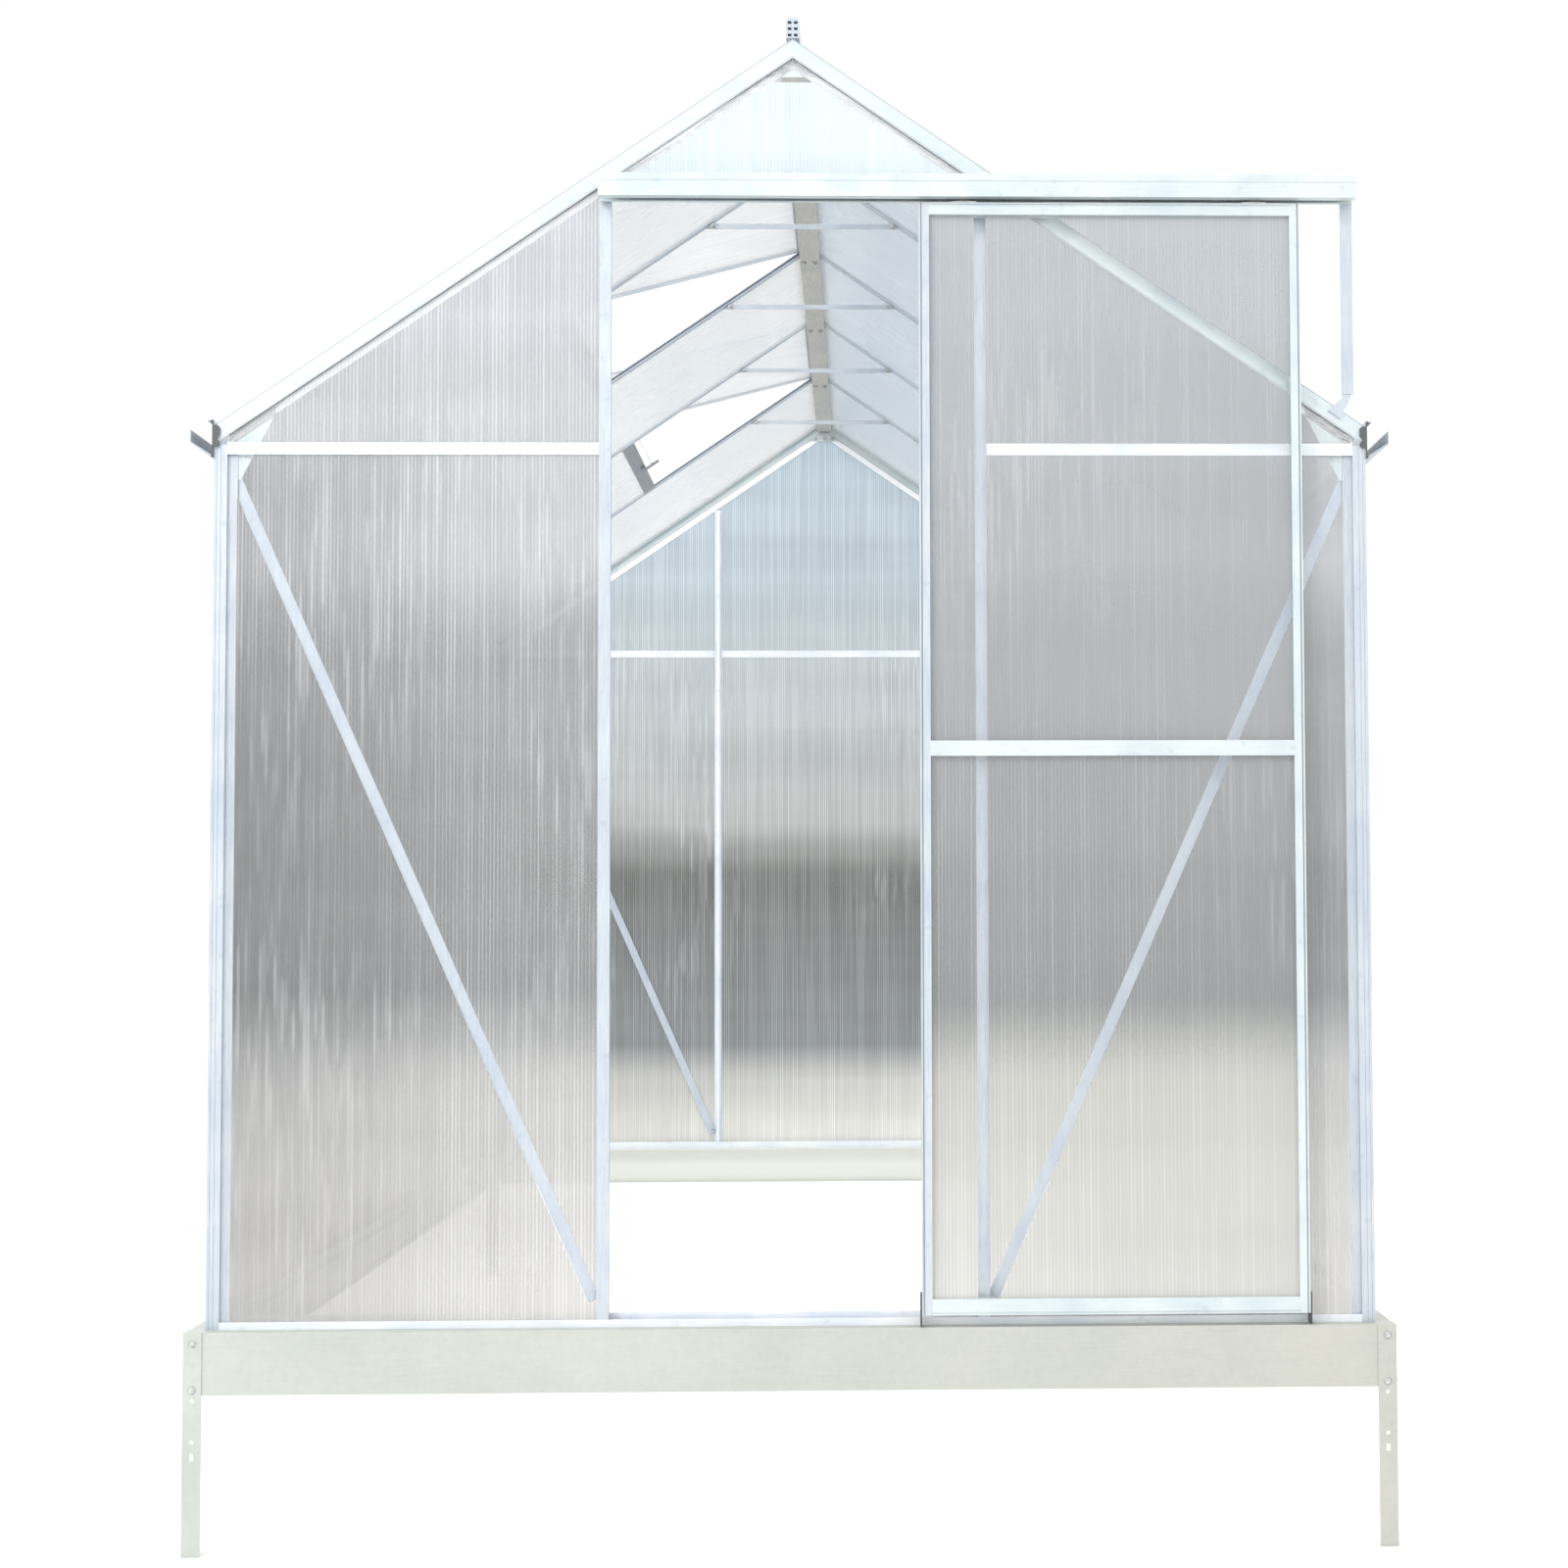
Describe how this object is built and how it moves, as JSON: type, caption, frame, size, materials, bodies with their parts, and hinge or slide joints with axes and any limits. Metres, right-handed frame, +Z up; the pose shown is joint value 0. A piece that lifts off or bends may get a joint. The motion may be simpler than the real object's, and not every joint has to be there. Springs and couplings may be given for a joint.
{
  "type": "greenhouse",
  "caption": "Walk-in aluminium greenhouse with twin-wall panels, a sliding door, opening roof vents and a staked steel base.",
  "frame": {"origin": "middle of the footprint at the ground stakes' tips", "axes": "+Y from the door gable to the back gable, +X to the right seen from the door, +Z up"},
  "size_m": [1.976, 3.217, 2.515],
  "materials": {
    "frame_aluminium": "mill finish, satin",
    "door_aluminium": "mill finish, satin",
    "track_aluminium": "mill finish, satin",
    "ridge_aluminium": "mill finish, dull",
    "gutter_aluminium": "mill finish, dull",
    "galvanised": "galvanised, matt",
    "fastener": "zinc plated",
    "polycarbonate": "twin-wall, translucent",
    "guide_plastic": "matt",
    "roller_nylon": "satin"
  },
  "bodies": {
    "frame": {"base_rail_front": "galvanised", "base_rail_back": "galvanised", "base_rail_left": "galvanised", "base_rail_right": "galvanised", "corner_stakes": "galvanised", "stake_bolts": "fastener", "frame_bolts": "fastener", "panels_front_gable": "polycarbonate", "panels_back_gable": "polycarbonate", "panels_left_wall": "polycarbonate", "panels_right_wall": "polycarbonate", "panels_roof_left": "polycarbonate", "panels_roof_right": "polycarbonate", "ridge_beam": "ridge_aluminium", "gutter_left": "gutter_aluminium", "gutter_right": "gutter_aluminium", "sill_front": "frame_aluminium", "sill_back": "frame_aluminium", "sill_left": "frame_aluminium", "sill_right": "frame_aluminium", "corner_post_front_left": "frame_aluminium", "corner_post_front_right": "frame_aluminium", "corner_post_back_left": "frame_aluminium", "corner_post_back_right": "frame_aluminium", "side_studs_left": "frame_aluminium", "side_studs_right": "frame_aluminium", "door_post_left": "frame_aluminium", "door_post_right": "frame_aluminium", "back_studs": "frame_aluminium", "gable_rail_front_left": "frame_aluminium", "gable_rail_front_right": "frame_aluminium", "door_header": "frame_aluminium", "gable_rails_back": "frame_aluminium", "wall_braces": "frame_aluminium", "gable_rafter_front_left": "frame_aluminium", "gable_rafter_front_right": "frame_aluminium", "gable_rafter_back_left": "frame_aluminium", "gable_rafter_back_right": "frame_aluminium", "roof_bars_left": "frame_aluminium", "roof_bars_right": "frame_aluminium", "collar_ties": "frame_aluminium", "gusset_plates": "frame_aluminium", "vent_sills": "frame_aluminium", "door_track": "track_aluminium", "track_strut": "track_aluminium"},
    "door": {"door_stile_left": "door_aluminium", "door_stile_right": "door_aluminium", "door_rails": "door_aluminium", "door_panel_upper": "polycarbonate", "door_panel_lower": "polycarbonate", "door_hangers": "fastener", "door_guides": "guide_plastic"},
    "roller_left": {"door_roller_left": "roller_nylon"},
    "roller_right": {"door_roller_right": "roller_nylon"},
    "vent_front": {"vent_front_frame": "door_aluminium", "vent_front_panel": "polycarbonate"},
    "stay_front": {"vent_front_stay": "fastener"},
    "vent_rear": {"vent_rear_frame": "door_aluminium", "vent_rear_panel": "polycarbonate"},
    "stay_rear": {"vent_rear_stay": "fastener"}
  },
  "joints": [
    {"name": "door_slide", "type": "slide", "parent": "frame", "child": "door", "axis": [1, 0, 0], "range_m": [-0.523, 0.086]},
    {"name": "door_roller_left_spin", "type": "hinge", "parent": "door", "child": "roller_left", "pos_m": [0.283, -1.6084, 2.2149], "axis": [0, 1, 0], "range_deg": [-2500, 415]},
    {"name": "door_roller_right_spin", "type": "hinge", "parent": "door", "child": "roller_right", "pos_m": [0.763, -1.6084, 2.2149], "axis": [0, 1, 0], "range_deg": [-2500, 415]},
    {"name": "vent_front_hinge", "type": "hinge", "parent": "frame", "child": "vent_front", "pos_m": [-0.01594, -0.62, 2.46688], "axis": [0, 1, 0], "range_deg": [-20, 8]},
    {"name": "stay_front_pivot", "type": "hinge", "parent": "vent_front", "child": "stay_front", "pos_m": [-0.50629, -0.62, 2.33393], "axis": [0, 1, 0], "range_deg": [-77.2, 31.2]},
    {"name": "vent_rear_hinge", "type": "hinge", "parent": "frame", "child": "vent_rear", "pos_m": [-0.01594, 0.62, 2.46688], "axis": [0, 1, 0], "range_deg": [-20, 8]},
    {"name": "stay_rear_pivot", "type": "hinge", "parent": "vent_rear", "child": "stay_rear", "pos_m": [-0.50629, 0.62, 2.33393], "axis": [0, 1, 0], "range_deg": [-77.2, 31.2]}
  ],
  "couplings": [
    {"joint": "door_roller_left_spin", "follows": "door_slide", "rad_per_m": 83.333},
    {"joint": "door_roller_right_spin", "follows": "door_slide", "rad_per_m": 83.333},
    {"joint": "stay_front_pivot", "follows": "vent_front_hinge", "ratio": 3.84},
    {"joint": "stay_rear_pivot", "follows": "vent_rear_hinge", "ratio": 3.84}
  ]
}
